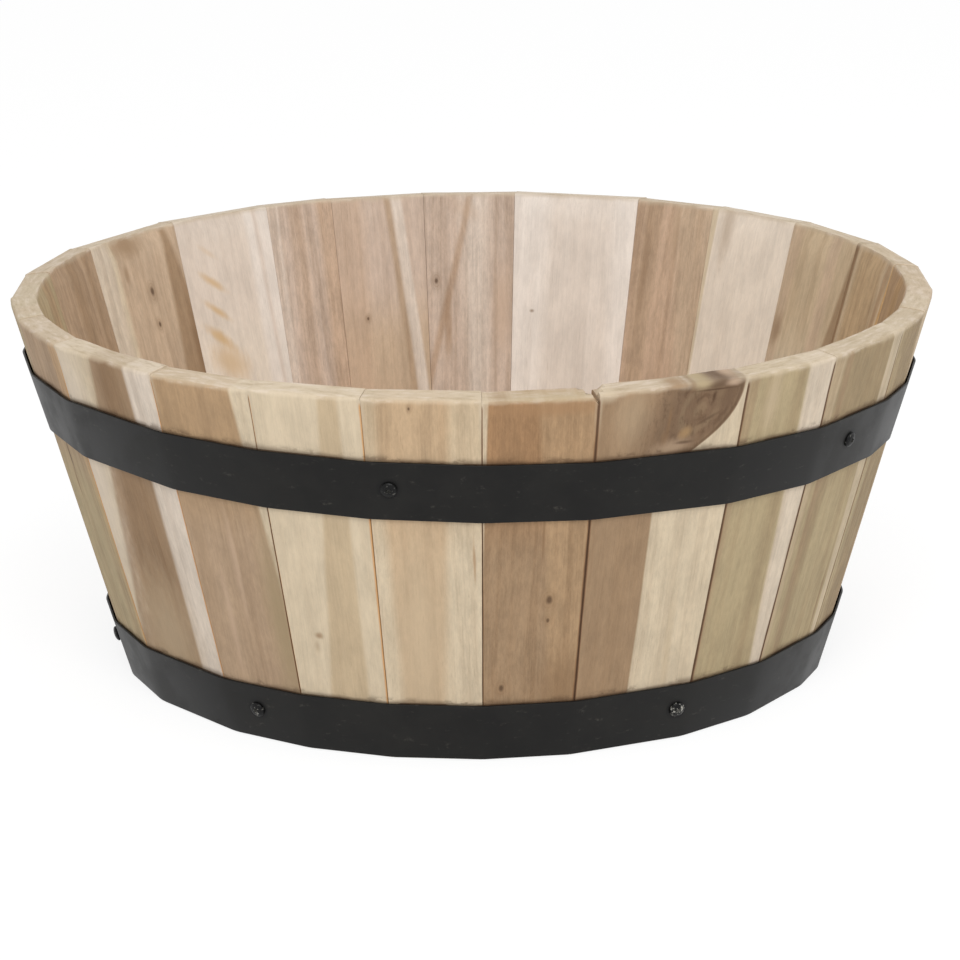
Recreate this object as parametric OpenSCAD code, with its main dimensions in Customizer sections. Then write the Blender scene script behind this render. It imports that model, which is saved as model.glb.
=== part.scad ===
// Wooden barrel planter: a low half-barrel tub of flat, random-width staves.
// Each stave leans outward, is bevelled on its sides to meet its neighbours, and is grooved inside
// near its foot. The bottom boards stand in that groove. Two riveted steel hoops, screwed to some of
// the staves, hold the ring together. Origin: centre of the foot, on the ground. The front is -Y.

/* [Tub] */
// Diameter over the outer corners of the staves at the rim
top_d = 610; // [560:1:680]
// Diameter over the outer corners of the staves at the ground
foot_d = 472; // [440:1:540]
// Height of the rim's outer edge
rim_h = 248; // [215:0.5:400]

/* [Staves] */
// Thickness of a stave
stave_t = 18; // [15:0.5:24]
// Gap left between two staves
joint_gap = 0.2; // [0.1:0.05:0.5]
// Rounding of the two edges of the rim
rim_round = 3; // [0.5:0.1:4]
// Slope of the rim's top, up to its inner edge, in degrees
rim_slope = 7.5; // [0:0.5:15]
// Bevel of the four long edges of a stave
arris = 0.6; // [0.3:0.1:1.2]
// Where the seam between the last stave and the first lies, in degrees to the right of the front
first_seam = 1; // [-10:0.1:10]

/* [Bottom] */
// Height of the underside of the bottom's tongue
chime_h = 28; // [20:1:60]
// Thickness of the bottom boards
bottom_t = 16; // [12:0.5:20]
// Thickness of the tongue round the bottom
tongue_t = 6; // [4:0.5:9]
// How far the groove is cut in behind the inner corners of the staves
croze_depth = 3; // [2:0.5:5]
// Gap between the tongue and the groove, above, below and behind it
croze_gap = 0.2; // [0.1:0.05:0.4]
// Length of the bevel from the boards' full thickness to the tongue
bevel_run = 13; // [8:1:25]
// Gap between two bottom boards
board_gap = 0.8; // [0.4:0.1:2]
// Diameter of a drain hole
drain_d = 15; // [8:1:20]
// Distance of the outer drain holes from the middle, along the boards
drain_pitch = 90; // [60:1:110]

/* [Dowels] */
// Diameter of a dowel
dowel_d = 8; // [6:0.5:9]
// Length of a dowel
dowel_l = 36; // [24:1:40]
// Distance between the two dowels of a joint
dowel_pitch = 150; // [80:1:180]
// Gap round a dowel and past each end of it
dowel_gap = 0.1; // [0.05:0.05:0.3]

/* [Hoops] */
// Thickness of the hoop strip
strip_t = 1.5; // [1:0.1:2.5]
// Width of the upper strip
upper_w = 40; // [30:1:50]
// Width of the lower strip
lower_w = 40; // [30:1:50]
// Height of the middle of the upper hoop
upper_z = 186.5; // [150:0.5:200]
// Height of the lower edge of the lower hoop, clear of the ground
lower_lift = 0.8; // [0.5:0.1:5]
// How far the upper hoop hangs out of level, in degrees, with its right side low
upper_tilt = 1.2; // [0:0.1:2]
// Gap between a strip's lower edge and the wood
strip_gap = 0.15; // [0.1:0.05:0.4]
// How much further a strip's upper edge stands off the wood
strip_flare = 0.6; // [0:0.1:1]
// Outer radius of a strip's bend over a seam
bend_r = 40; // [5:1:60]
// Length of the lap where a strip's ends overlap
lap_l = 44; // [36:1:50]
// Length over which the outer end rises on to the inner one
lap_rise = 9; // [5:1:12]

/* [Fasteners] */
// Diameter of a screw head
screw_head_d = 10; // [8:0.5:12]
// Height of a screw head
screw_head_h = 2.8; // [2:0.1:4]
// Diameter of a screw's shank
screw_d = 4; // [3:0.1:5]
// Length of a screw under its head
screw_l = 15; // [10:0.5:15]
// How far the screws sit above the middle of their strip
screw_lift = 2.5; // [0:0.1:6]
// Width of an arm of the cross recess
recess_w = 1.1; // [0.8:0.1:1.5]
// Length over both arms of the cross recess
recess_l = 5; // [3:0.1:6]
// Depth of the cross recess
recess_depth = 1.5; // [0.8:0.1:1.8]
// Diameter of a rivet head
rivet_head_d = 8; // [6:0.5:10]
// Height of a rivet head
rivet_head_h = 2; // [1.5:0.1:3]
// Diameter of a rivet's shank
rivet_d = 4; // [3:0.1:5]
// Distance between the two rivets of a lap
rivet_pitch = 22; // [16:1:26]
// Gap round the shank of a screw or rivet, and under its head
pin_gap = 0.1; // [0.05:0.05:0.3]

/* [Hidden] */
// Widths at the rim of the random-width boards, in order round the tub, to the right from the front.
// The ring is closed by scaling them together to the circumference.
stave_w = [
    70, 99, 74, 86, 49, 65, 66, 76, 82, 82, 66, 100, 72,
    74, 55, 88, 102, 81, 70, 63, 73, 101, 73, 71, 72
];
count = len(stave_w);
board_count = 5;
// Screws: the stave, and the place across it from -1 at its left seam to 1 at its right seam
upper_screws = [[25, -0.62], [4, 0], [9, -0.2], [14, 0.1], [19, 0]];
lower_screws = [[23, -0.2], [2, 0.81], [7, 0], [16, 0.3], [20, 0]];
// The wide stave at the back that both laps lie on
lap_stave = 12;

// Plan of the ring, in degrees anticlockwise from +X. Staves count from 0 in the lists below.
function total(v, n) = n == 0 ? 0 : v[n - 1] + total(v, n - 1);
widths_sum = total(stave_w, count);
function seam(i) = first_seam - 90 + 360 * total(stave_w, i) / widths_sum;
half = [for (i = [0:count - 1]) 180 * stave_w[i] / widths_sum];
mid = [for (i = [0:count - 1]) (seam(i) + seam(i + 1)) / 2];

// Side view of the ring: the outer corners of all the staves lie on one cone
flare = atan((top_d - foot_d) / 2 / rim_h);
function corner_r(z) = foot_d / 2 + z * tan(flare);
function lean(i) = atan(tan(flare) * cos(half[i]));
function face_x(i, z) = corner_r(z) * cos(half[i]);
function inner_x(i, z) = face_x(i, z) - stave_t / cos(lean(i));

// Groove in the staves, and the tongue of the bottom that stands in it
groove_z = chime_h - croze_gap;
groove_h = tongue_t + 2 * croze_gap;
groove_r = croze_depth + max([for (i = [0:count - 1]) inner_x(i, groove_z + groove_h) / cos(half[i])]);
tongue_r = groove_r - croze_gap;
// The bevel ends this far short of the staves' inner faces
bevel_clear = 1;
tongue_root_r = min([for (i = [0:count - 1]) inner_x(i, groove_z)]) - bevel_clear;
bevel_h = (bottom_t - tongue_t) / 2;
bottom_z = chime_h - bevel_h;
board_w = 2 * tongue_r / board_count;

// Hoops: heights of a strip's middle and edges, and the cone that its inner corners lie on
function rise(w) = w * cos(flare);
lower_z = lower_lift + rise(lower_w) / 2;
function drop(tilt) = tan(tilt) * top_d / 2;
function strip_r(z, mid_z, w, tilt) =
    corner_r(z) + strip_flare * ((z - mid_z + drop(tilt)) / rise(w) + 0.5);
// Height of a hoop's middle on stave i
function strip_z(i, mid_z, tilt) = mid_z - tan(tilt) * face_x(i, mid_z) * cos(mid[i]);
// Distance of a hoop's inner face from the wood, square to the wood, at height z on stave i
function strip_off(i, z, mid_z, w, tilt) =
    ((strip_r(z, mid_z, w, tilt) - corner_r(z)) * cos(half[i]) + strip_gap) * cos(lean(i));

// The hole for a screw goes this much deeper than its point
screw_end_gap = 0.5;
screw_point_l = 4;
bend_steps = 3;
round_steps = 6;
// Longer than any cut through one stave
long = rim_h + top_d;

black_steel = [0.13, 0.13, 0.13];
worn_steel = [0.24, 0.24, 0.23];
sapwood = [0.86, 0.77, 0.64];
heartwood = [0.66, 0.53, 0.41];
dowel_wood = [0.82, 0.70, 0.52];
function wood_tone(n) = let (k = (n * 7) % 5 / 4) sapwood * (1 - k) + heartwood * k;

// Points of an arc round c, from angle a to angle b
function arc(c, r, a, b, steps) = [for (k = [0:steps])
    let (t = a + (b - a) * k / steps) c + r * [cos(t), sin(t)]];

// Goes to the outer face of stave i at height z, y to its right, with X square out of the wood
module on_stave(i, y, z) {
    rotate([0, 0, mid[i]]) translate([face_x(i, z), y, z]) rotate([0, lean(i), 0]) children();
}

// Goes to each screw's place on the wood, or only to those of stave n
module at_screws(screws, mid_z, tilt, n = 0) {
    for (s = screws)
        if (n == 0 || n == s[0]) {
            i = s[0] - 1;
            z = strip_z(i, mid_z, tilt) + screw_lift;
            on_stave(i, s[1] * face_x(i, z) * tan(half[i]), z) children();
        }
}

// ---- Staves ----

// A stave's section, with its outer side to the right. Both edges of the rim are eased, and its top
// falls towards the inside, by the angle fall, from a cut square to the board.
module stave_side(i) {
    board_l = rim_h / cos(lean(i));
    fall = lean(i) - rim_slope;
    outer = rim_round * (1 + sin(fall)) / cos(fall);
    inner = (rim_round + (stave_t - rim_round) * sin(fall)) / cos(fall);
    translate([face_x(i, 0), 0]) rotate(-lean(i))
        polygon(concat(
            [[-stave_t, -stave_t], [0, -stave_t]],
            arc([-rim_round, board_l - outer], rim_round, 0, 90 + fall, round_steps),
            arc([rim_round - stave_t, board_l - inner], rim_round, 90 + fall, 180, round_steps)
        ));
}

// The wedge of the ring that a stave fills, short of its neighbours by half a joint gap
module stave_wedge(i) {
    linear_extrude(height = long)
        translate([joint_gap / 2 / sin(half[i]), 0])
            polygon([[0, 0], long * [1, -tan(half[i])], long * [1, tan(half[i])]]);
}

// A diamond rod that bevels the long edge that it runs along, which starts at radius r on the ground
module arris_rod(i, side, r) {
    rotate([0, 0, side * half[i]]) translate([r, 0, 0]) rotate([0, flare, 0]) rotate([0, 0, 45])
        cube([arris * sqrt(2), arris * sqrt(2), long], center = true);
}

module croze_groove() {
    rotate_extrude($fn = 180)
        translate([foot_d / 4, groove_z]) square([groove_r - foot_d / 4, groove_h]);
}

module screw_hole() {
    rotate([0, 90, 0])
        cylinder(h = 2 * (screw_l + screw_end_gap), d = screw_d + 2 * pin_gap, center = true, $fn = 24);
}

module stave(n) {
    i = n - 1;
    color(wood_tone(n)) difference() {
        rotate([0, 0, mid[i]]) difference() {
            intersection() {
                rotate([90, 0, 0]) linear_extrude(height = long, center = true) stave_side(i);
                stave_wedge(i);
            }
            for (side = [-1, 1]) {
                arris_rod(i, side, corner_r(0));
                arris_rod(i, side, inner_x(i, 0) / cos(half[i]));
            }
        }
        croze_groove();
        at_screws(upper_screws, upper_z, upper_tilt, n) screw_hole();
        at_screws(lower_screws, lower_z, 0, n) screw_hole();
    }
}

// ---- Bottom ----

// The five boards as one disc, bevelled above and below to the tongue
module bottom_disc() {
    full_r = tongue_root_r - bevel_run;
    rotate_extrude($fn = 180)
        polygon([
            [0, bottom_z], [full_r, bottom_z], [tongue_root_r, chime_h], [tongue_r, chime_h],
            [tongue_r, chime_h + tongue_t], [tongue_root_r, chime_h + tongue_t],
            [full_r, bottom_z + bottom_t], [0, bottom_z + bottom_t]
        ]);
}

// Goes to the middle of each dowel: two in each joint between boards
module at_dowels() {
    for (joint = [1:board_count - 1], side = [-1, 1])
        translate([joint * board_w - tongue_r, side * dowel_pitch / 2, bottom_z + bottom_t / 2])
            rotate([0, 90, 0]) children();
}

module drain_holes() {
    for (p = [[0, 0], [-1, -1], [-1, 1], [1, -1], [1, 1]])
        translate([p[0] * board_w, p[1] * drain_pitch, 0])
            cylinder(h = 2 * (bottom_z + bottom_t), d = drain_d, $fn = 48);
}

module bottom_board(n) {
    left = (n - 1) * board_w - tongue_r + (n == 1 ? -1 : board_gap / 2);
    right = n * board_w - tongue_r - (n == board_count ? -1 : board_gap / 2);
    color(wood_tone(n + 2)) difference() {
        intersection() {
            bottom_disc();
            translate([left, -top_d, 0]) cube([right - left, 2 * top_d, rim_h]);
        }
        at_dowels()
            cylinder(h = dowel_l + 2 * dowel_gap, d = dowel_d + 2 * dowel_gap, center = true, $fn = 32);
        drain_holes();
    }
}

module bottom_dowels() {
    color(dowel_wood)
        at_dowels() cylinder(h = dowel_l, d = dowel_d, center = true, $fn = 32);
}

// ---- Hoops ----

// Corner between staves k and k + 1 of the ring whose corners lie at radius r, moved out by off
function ring_corner(k, r, off) = let (
    j = (k + 1) % count,
    turn = half[k] + half[j],
    p = r * cos(half[k]) + off,
    q = r * cos(half[j]) + off
) p * [cos(mid[k]), sin(mid[k])] + (q - p * cos(turn)) / sin(turn) * [-sin(mid[k]), cos(mid[k])];

// Plan of a strip round the ring whose corners lie at radius r: flat on the staves and bent over
// the seams, with its outer end lying on its inner end
module strip_plan(r) {
    lap_x = r * cos(half[lap_stave - 1]) + strip_gap + strip_t;
    bends = [for (k = [0:count - 1])
        each arc(ring_corner(k, r, strip_gap + strip_t - bend_r), bend_r,
            mid[k], mid[k] + half[k] + half[(k + 1) % count], bend_steps)];
    difference() {
        union() {
            polygon(bends);
            rotate(mid[lap_stave - 1])
                polygon([
                    [lap_x - strip_t / 2, -lap_l / 2 - 1.5 * lap_rise],
                    [lap_x + strip_t, -lap_l / 2], [lap_x + strip_t, lap_l / 2],
                    [lap_x - strip_t / 2, lap_l / 2]
                ]);
        }
        polygon([for (k = [0:count - 1]) ring_corner(k, r, strip_gap)]);
    }
}

module hoop(mid_z, w, tilt, screws) {
    // The strip is drawn this much past its edges, then cut to them
    spare = 1;
    low = mid_z - rise(w) / 2 - drop(tilt) - spare;
    high = mid_z + rise(w) / 2 + drop(tilt) + spare;
    color(black_steel) difference() {
        intersection() {
            translate([0, 0, low])
                linear_extrude(
                    height = high - low,
                    scale = strip_r(high, mid_z, w, tilt) / strip_r(low, mid_z, w, tilt)
                ) strip_plan(strip_r(low, mid_z, w, tilt));
            translate([0, 0, mid_z]) rotate([0, tilt, 0])
                cube([2 * top_d, 2 * top_d, rise(w)], center = true);
        }
        at_screws(screws, mid_z, tilt) screw_hole();
        at_rivets(mid_z, tilt)
            rotate([0, 90, 0])
                cylinder(h = 6 * strip_t, d = rivet_d + 2 * pin_gap, center = true, $fn = 24);
    }
}

// ---- Fasteners ----

// Section of a low dome on a straight edge, standing on Z = 0
function dome(d, h) = let (edge = h / 4, r = (pow(d / 2, 2) + pow(h - edge, 2)) / (h - edge) / 2,
    a = acos((r - h + edge) / r))
    concat([[d / 2, 0]], arc([0, h - r], r, 90 - a, 90, round_steps));

module screw() {
    difference() {
        rotate_extrude($fn = 48)
            polygon(concat(
                [[0, -screw_l], [screw_d / 2, screw_point_l - screw_l], [screw_d / 2, 0]],
                dome(screw_head_d, screw_head_h)
            ));
        for (turn = [0, 90])
            translate([0, 0, screw_head_h]) rotate([0, 0, turn])
                cube([recess_l, recess_w, 2 * recess_depth], center = true);
    }
}

module hoop_screws(mid_z, w, tilt, screws) {
    color(worn_steel)
        for (s = screws) {
            i = s[0] - 1;
            z = strip_z(i, mid_z, tilt) + screw_lift;
            seat = strip_off(i, z, mid_z, w, tilt) + strip_t + pin_gap;
            at_screws([s], mid_z, tilt) translate([seat, 0, 0]) rotate([0, 90, 0]) screw();
        }
}

module at_rivets(mid_z, tilt) {
    i = lap_stave - 1;
    for (side = [-1, 1]) on_stave(i, side * rivet_pitch / 2, strip_z(i, mid_z, tilt)) children();
}

// A rivet, from the inner face of the lap, with its head on the outer face
module rivet(grip) {
    rotate_extrude($fn = 48)
        polygon(concat([[0, -grip], [rivet_d / 2, -grip], [rivet_d / 2, 0]], dome(rivet_head_d, rivet_head_h)));
}

module lap_rivets(mid_z, w, tilt) {
    i = lap_stave - 1;
    inner = strip_off(i, strip_z(i, mid_z, tilt), mid_z, w, tilt);
    at_rivets(mid_z, tilt)
        translate([inner + 2 * strip_t + pin_gap, 0, 0]) rotate([0, 90, 0]) rivet(2 * strip_t);
}

module hoop_rivets() {
    color(black_steel) {
        lap_rivets(upper_z, upper_w, upper_tilt);
        lap_rivets(lower_z, lower_w, 0);
    }
}

// ---- The part ----

for (n = [1:count])
    stave(n);
for (n = [1:board_count])
    bottom_board(n);
bottom_dowels();
hoop(upper_z, upper_w, upper_tilt, upper_screws);  // upper_hoop
hoop(lower_z, lower_w, 0, lower_screws);  // lower_hoop
hoop_rivets();
hoop_screws(upper_z, upper_w, upper_tilt, upper_screws);  // upper_hoop_screws
hoop_screws(lower_z, lower_w, 0, lower_screws);  // lower_hoop_screws
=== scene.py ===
import math

import bpy
from mathutils import Matrix, Vector


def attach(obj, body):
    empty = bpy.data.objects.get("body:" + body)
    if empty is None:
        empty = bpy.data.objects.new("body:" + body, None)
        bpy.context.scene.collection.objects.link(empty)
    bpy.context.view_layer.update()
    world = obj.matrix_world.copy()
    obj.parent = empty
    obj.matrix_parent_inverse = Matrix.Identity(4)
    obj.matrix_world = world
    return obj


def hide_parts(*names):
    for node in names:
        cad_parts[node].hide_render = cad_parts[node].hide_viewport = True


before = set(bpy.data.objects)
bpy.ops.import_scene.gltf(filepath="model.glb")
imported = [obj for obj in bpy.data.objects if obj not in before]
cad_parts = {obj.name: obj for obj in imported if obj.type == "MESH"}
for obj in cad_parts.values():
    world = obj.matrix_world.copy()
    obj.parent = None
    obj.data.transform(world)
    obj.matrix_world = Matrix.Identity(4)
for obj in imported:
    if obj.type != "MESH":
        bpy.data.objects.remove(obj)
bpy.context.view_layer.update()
print("frame loaded:", len(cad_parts), "nodes")

mm = 0.001

# The tub's own sizes, the same as in the solid model
tub = {
    "rimDiameter": 610 * mm,
    "footDiameter": 472 * mm,
    "rimHeight": 248 * mm,
    "staveThickness": 18 * mm,
    "jointGap": 0.2 * mm,
    "firstSeam": 1,  # degrees to the right of the front
    "staveWidths": [
        70, 99, 74, 86, 49, 65, 66, 76, 82, 82, 66, 100, 72,
        74, 55, 88, 102, 81, 70, 63, 73, 101, 73, 71, 72,
    ],
}
hoop = {
    "width": 40 * mm,
    "thickness": 1.5 * mm,
    "gap": 0.15 * mm,
    "overGround": 0.8 * mm,
    "flareOut": 0.6 * mm,  # how much further the upper edge stands off
    "bendRadius": 40 * mm,
    "edgeRounding": 0.35 * mm,
    "lapStave": 12,
    "lapLength": 44 * mm,
    "lapRise": 9 * mm,
    "lapGap": 0.05 * mm,
    "waviness": 0.3 * mm,
    "seed": 40.0,
}
flare = math.atan((tub["rimDiameter"] - tub["footDiameter"]) / 2 / tub["rimHeight"])
hoopRise = hoop["width"] * math.cos(flare)
upperHoop = {"height": 186.5 * mm, "tilt": math.radians(1.2)}
lowerHoop = {"height": hoop["overGround"] + hoopRise / 2, "tilt": 0.0}
staveCount = len(tub["staveWidths"])
widthSum = sum(tub["staveWidths"])


# Staves are counted from 0 here, anticlockwise from above
def seamAngle(index):
    return math.radians(tub["firstSeam"] - 90 + 360 * sum(tub["staveWidths"][:index]) / widthSum)


def halfAngle(index):
    return math.pi * tub["staveWidths"][index] / widthSum


def middleAngle(index):
    return (seamAngle(index) + seamAngle(index + 1)) / 2


def cornerRadius(height):
    return tub["footDiameter"] / 2 + height * math.tan(flare)


def faceDistance(index, height=0):
    return cornerRadius(height) * math.cos(halfAngle(index))


def leanAngle(index):
    return math.atan(math.tan(flare) * math.cos(halfAngle(index)))


# Unit vectors out from the axis and along the width of a board
def outwardOf(index):
    turn = middleAngle(index)
    return Vector((math.cos(turn), math.sin(turn), 0))


def acrossOf(index):
    turn = middleAngle(index)
    return Vector((-math.sin(turn), math.cos(turn), 0))


# Radius of the corners of a band's inner face
def bandRadius(band, height):
    drop = math.tan(band["tilt"]) * tub["rimDiameter"] / 2
    return cornerRadius(height) + hoop["flareOut"] * ((height - band["height"] + drop) / hoopRise + 0.5)


# Links a socket to an input, or sets its value
def feed(socket, value):
    if isinstance(value, bpy.types.NodeSocket):
        socket.id_data.links.new(value, socket)
    else:
        socket.default_value = value


def addNode(tree, kind, values=None, **settings):
    made = tree.nodes.new(kind)
    for name, value in settings.items():
        setattr(made, name, value)
    for key, value in (values or {}).items():
        feed(made.inputs[key], value)
    return made


# A geometry node's first output
def geometry(tree, kind, values=None, **settings):
    return addNode(tree, "GeometryNode" + kind, values, **settings).outputs[0]


# Adds a node to the tree that the sockets among its values are in
def chain(kind, values, **settings):
    tree = next(value.id_data for value in values.values() if isinstance(value, bpy.types.NodeSocket))
    return addNode(tree, kind, values, **settings)


def calc(operation, *values):
    return chain("ShaderNodeMath", dict(enumerate(values)), operation=operation).outputs[0]


# With these, sockets can be added, subtracted, multiplied and divided like numbers
def addSocketMaths():
    socket = bpy.types.NodeSocket
    for name, kind in {"add": "ADD", "sub": "SUBTRACT", "mul": "MULTIPLY", "truediv": "DIVIDE"}.items():
        setattr(socket, f"__{name}__", lambda first, second, kind=kind: calc(kind, first, second))
        setattr(socket, f"__r{name}__", lambda second, first, kind=kind: calc(kind, first, second))
    socket.__neg__ = lambda first: calc("MULTIPLY", first, -1.0)


addSocketMaths()


def vectorCalc(operation, *values):
    return chain("ShaderNodeVectorMath", dict(enumerate(values)), operation=operation).outputs[0]


def lengthOf(vector):
    return chain("ShaderNodeVectorMath", {0: vector}, operation="LENGTH").outputs["Value"]


def blend(share, first, second):
    return chain("ShaderNodeMix", {0: share, 2: first, 3: second}).outputs[0]


# A smooth step from low at start to high at end
def ramp(value, start, end, low=0.0, high=1.0):
    values = {"Value": value, "From Min": start, "From Max": end, "To Min": low, "To Max": high}
    return chain("ShaderNodeMapRange", values, interpolation_type="SMOOTHSTEP").outputs[0]


def split(vector):
    return chain("ShaderNodeSeparateXYZ", {0: vector}).outputs


def join(x, y, z):
    return chain("ShaderNodeCombineXYZ", {0: x, 1: y, 2: z}).outputs[0]


def noise(place, scale, seed, detail=2.0, roughness=0.5):
    stretched = vectorCalc("MULTIPLY", place, scale)
    values = {"Vector": stretched, "W": seed, "Scale": 1.0, "Detail": detail, "Roughness": roughness}
    return chain("ShaderNodeTexNoise", values, noise_dimensions="4D").outputs[0]


# An input is given by its starting value, or by its type where it has none
def newGroup(name, kind, inputs, outputs):
    tree = bpy.data.node_groups.new(name, kind)
    for label, value in inputs.items():
        socketType = value if isinstance(value, str) else type(value).__name__.title()
        socket = tree.interface.new_socket(label, in_out="INPUT", socket_type="NodeSocket" + socketType)
        if value != socketType:
            socket.default_value = value
    for label, socketType in outputs.items():
        tree.interface.new_socket(label, in_out="OUTPUT", socket_type="NodeSocket" + socketType)
    return tree, tree.nodes.new("NodeGroupInput").outputs, tree.nodes.new("NodeGroupOutput").inputs


# Its outputs are numbers, and with bent also the place it was given, moved
def shaderGroup(name, inputs, masks, bent=False):
    outputs = {"Place": "Vector"} if bent else {}
    return newGroup(name, "ShaderNodeTree", inputs, {**outputs, **dict.fromkeys(masks, "Float")})


def geometryGroup(name, inputs):
    return newGroup(name, "GeometryNodeTree", inputs, {"Geometry": "Geometry"})


# leftSlant stands for the socket Left Slant
def socketName(name):
    return "".join(" " + letter if letter.isupper() else letter for letter in name).title()


def useGroup(group, **values):
    named = {socketName(name): value for name, value in values.items()}
    return chain("ShaderNodeGroup", named, node_tree=group).outputs


def colour(code):
    parts = [int(code[k:k + 2], 16) / 255 for k in (0, 2, 4)]
    return tuple(c / 12.92 if c <= 0.04045 else ((c + 0.055) / 1.055) ** 2.4 for c in parts) + (1.0,)


def paint(share, under, over, how="MIX"):
    values = {0: share, 6: under, 7: over}
    return chain("ShaderNodeMix", values, data_type="RGBA", blend_type=how).outputs[2]


# Paints one tone over another where the mask is, by a share
def stain(mask, share, under, over):
    return paint(mask * share, under, over)


def newMaterial(name):
    material = bpy.data.materials.new(name)
    material.use_nodes = True
    return material


def objectPlaceIn(material):
    return addNode(material.node_tree, "ShaderNodeTexCoord").outputs["Object"]


# Sets what every surface here has: colour, roughness, shine and a fine relief
def finishSurface(material, shade, roughness, specular, relief):
    surface = material.node_tree.nodes["Principled BSDF"]
    feed(surface.inputs["Base Color"], shade)
    feed(surface.inputs["Roughness"], roughness)
    surface.inputs["Specular IOR Level"].default_value = specular
    feed(surface.inputs["Normal"], chain("ShaderNodeBump", relief).outputs[0])
    return material


def linkToScene(name, data):
    made = bpy.data.objects.new(name, data)
    bpy.context.scene.collection.objects.link(made)
    return made


# Runs a geometry tree on a starting mesh and keeps the result as a plain mesh
def growMesh(name, tree, start, **values):
    made = linkToScene(name, start)
    grower = made.modifiers.new("grow", "NODES")
    grower.node_group = tree
    sockets = {s.name: s.identifier for s in tree.interface.items_tree if s.in_out == "INPUT"}
    for key, value in values.items():
        grower[sockets[socketName(key)]] = value
    grown = bpy.data.meshes.new_from_object(made.evaluated_get(bpy.context.evaluated_depsgraph_get()))
    made.modifiers.remove(grower)
    made.data = grown
    grown.name = name
    return made


def startMesh(name, points, edges=()):
    mesh = bpy.data.meshes.new(name)
    mesh.from_pydata(points, edges, [])
    return mesh


# The last nodes of every geometry tree: soft shading over shallow edges, then the material
def finishTree(tree, out, body, material, smoothAngle=35):
    angle = geometry(tree, "InputMeshEdgeAngle")
    shallow = calc("LESS_THAN", angle, math.radians(smoothAngle))
    values = {"Geometry": body, "Shade Smooth": shallow}
    body = geometry(tree, "SetShadeSmooth", values, domain="EDGE")
    body = geometry(tree, "RealizeInstances", {"Geometry": body})
    values = {"Geometry": body, "Material": material}
    feed(out["Geometry"], geometry(tree, "SetMaterial", values))


def fit(piece, nodes):
    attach(piece, "root")
    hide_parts(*nodes)


# The layers of the grain: how fast each noise changes per mm through, across and along a board, what is
# added to the board's seed, the noise's detail and roughness, and its values for none and full
grainLayers = {
    "Fibre": {"scale": (0.5, 1.3, 0.022), "seed": 0.0, "noise": (3.0, 0.6), "span": (0.25, 0.75)},
    "Streak": {"scale": (0.06, 0.17, 0.005), "seed": 11.3, "noise": (3.0, 0.6), "span": (0.38, 0.7)},
    "Figure": {"scale": (0.05, 0.07, 0.03), "seed": 23.7, "noise": (2.0, 0.5), "span": (0.3, 0.7)},
    "Mottle": {"scale": (0.22, 0.4, 0.12), "seed": 41.9, "noise": (6.0, 0.75), "span": (0.3, 0.7)},
    "Pores": {"scale": (1.2, 1.9, 0.11), "seed": 31.1, "noise": (1.0, 0.5), "span": (0.66, 0.76)},
}


# In the wood's shader groups a place on a board is its depth, across and along, in mm
def makeBoardGrain():
    inputs = {"Place": "Vector", "Seed": 0.0, "Wander": 3.0}
    tree, given, out = shaderGroup("boardGrain", inputs, grainLayers, bent=True)
    drift = noise(given["Place"], (0.02, 0.02, 0.008), given["Seed"], 1.0)
    sway = (drift - 0.5) * given["Wander"]
    bent = vectorCalc("ADD", given["Place"], join(0.0, sway, 0.0))
    feed(out["Place"], bent)
    for name, layer in grainLayers.items():
        cloud = noise(bent, layer["scale"], given["Seed"] + layer["seed"], *layer["noise"])
        feed(out[name], ramp(cloud, *layer["span"]))
    return tree


# A band of grain between two slanted edges
def makeGrainBand():
    inputs = {
        "Place": "Vector", "Left": -10.0, "Left Slant": 0.0, "Right": 10.0, "Right Slant": 0.0,
        "Softness": 1.5,
    }
    tree, given, out = shaderGroup("grainBand", inputs, ["Mask"])
    depth, across, along = split(given["Place"])
    rise = along - 200.0  # a band's edges are given 200 mm up the board
    past = []
    for edge in ("Left", "Right"):
        line = rise * given[edge + " Slant"] + given[edge]
        past.append(ramp(across - line, -given["Softness"], given["Softness"]))
    feed(out["Mask"], past[0] * (1.0 - past[1]))
    return tree


def makeWoodKnot():
    inputs = {
        "Place": "Vector", "Centre": "Vector", "Radius": 3.0, "Stretch": 1.6, "Ring Count": 3.0,
        "Seed": 0.0,
    }
    tree, given, out = shaderGroup("woodKnot", inputs, ["Core", "Halo", "Rings"])
    depth, across, along = split(vectorCalc("SUBTRACT", given["Place"], given["Centre"]))
    flat = join(0.0, across, along / given["Stretch"])
    uneven = noise(given["Place"], (0.0, 0.12, 0.08), given["Seed"], 2.0) * 0.9 + 0.55
    far = lengthOf(flat) * uneven / given["Radius"]  # in radii of the knot
    feed(out["Core"], ramp(far, 1.0, 0.35))
    feed(out["Halo"], ramp(far, 3.0, 0.6))
    wave = calc("SINE", far * (given["Ring Count"] * math.pi))
    feed(out["Rings"], ramp(wave, 0.2, 1.0) * ramp(far, 3.2, 1.0))
    return tree


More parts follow.
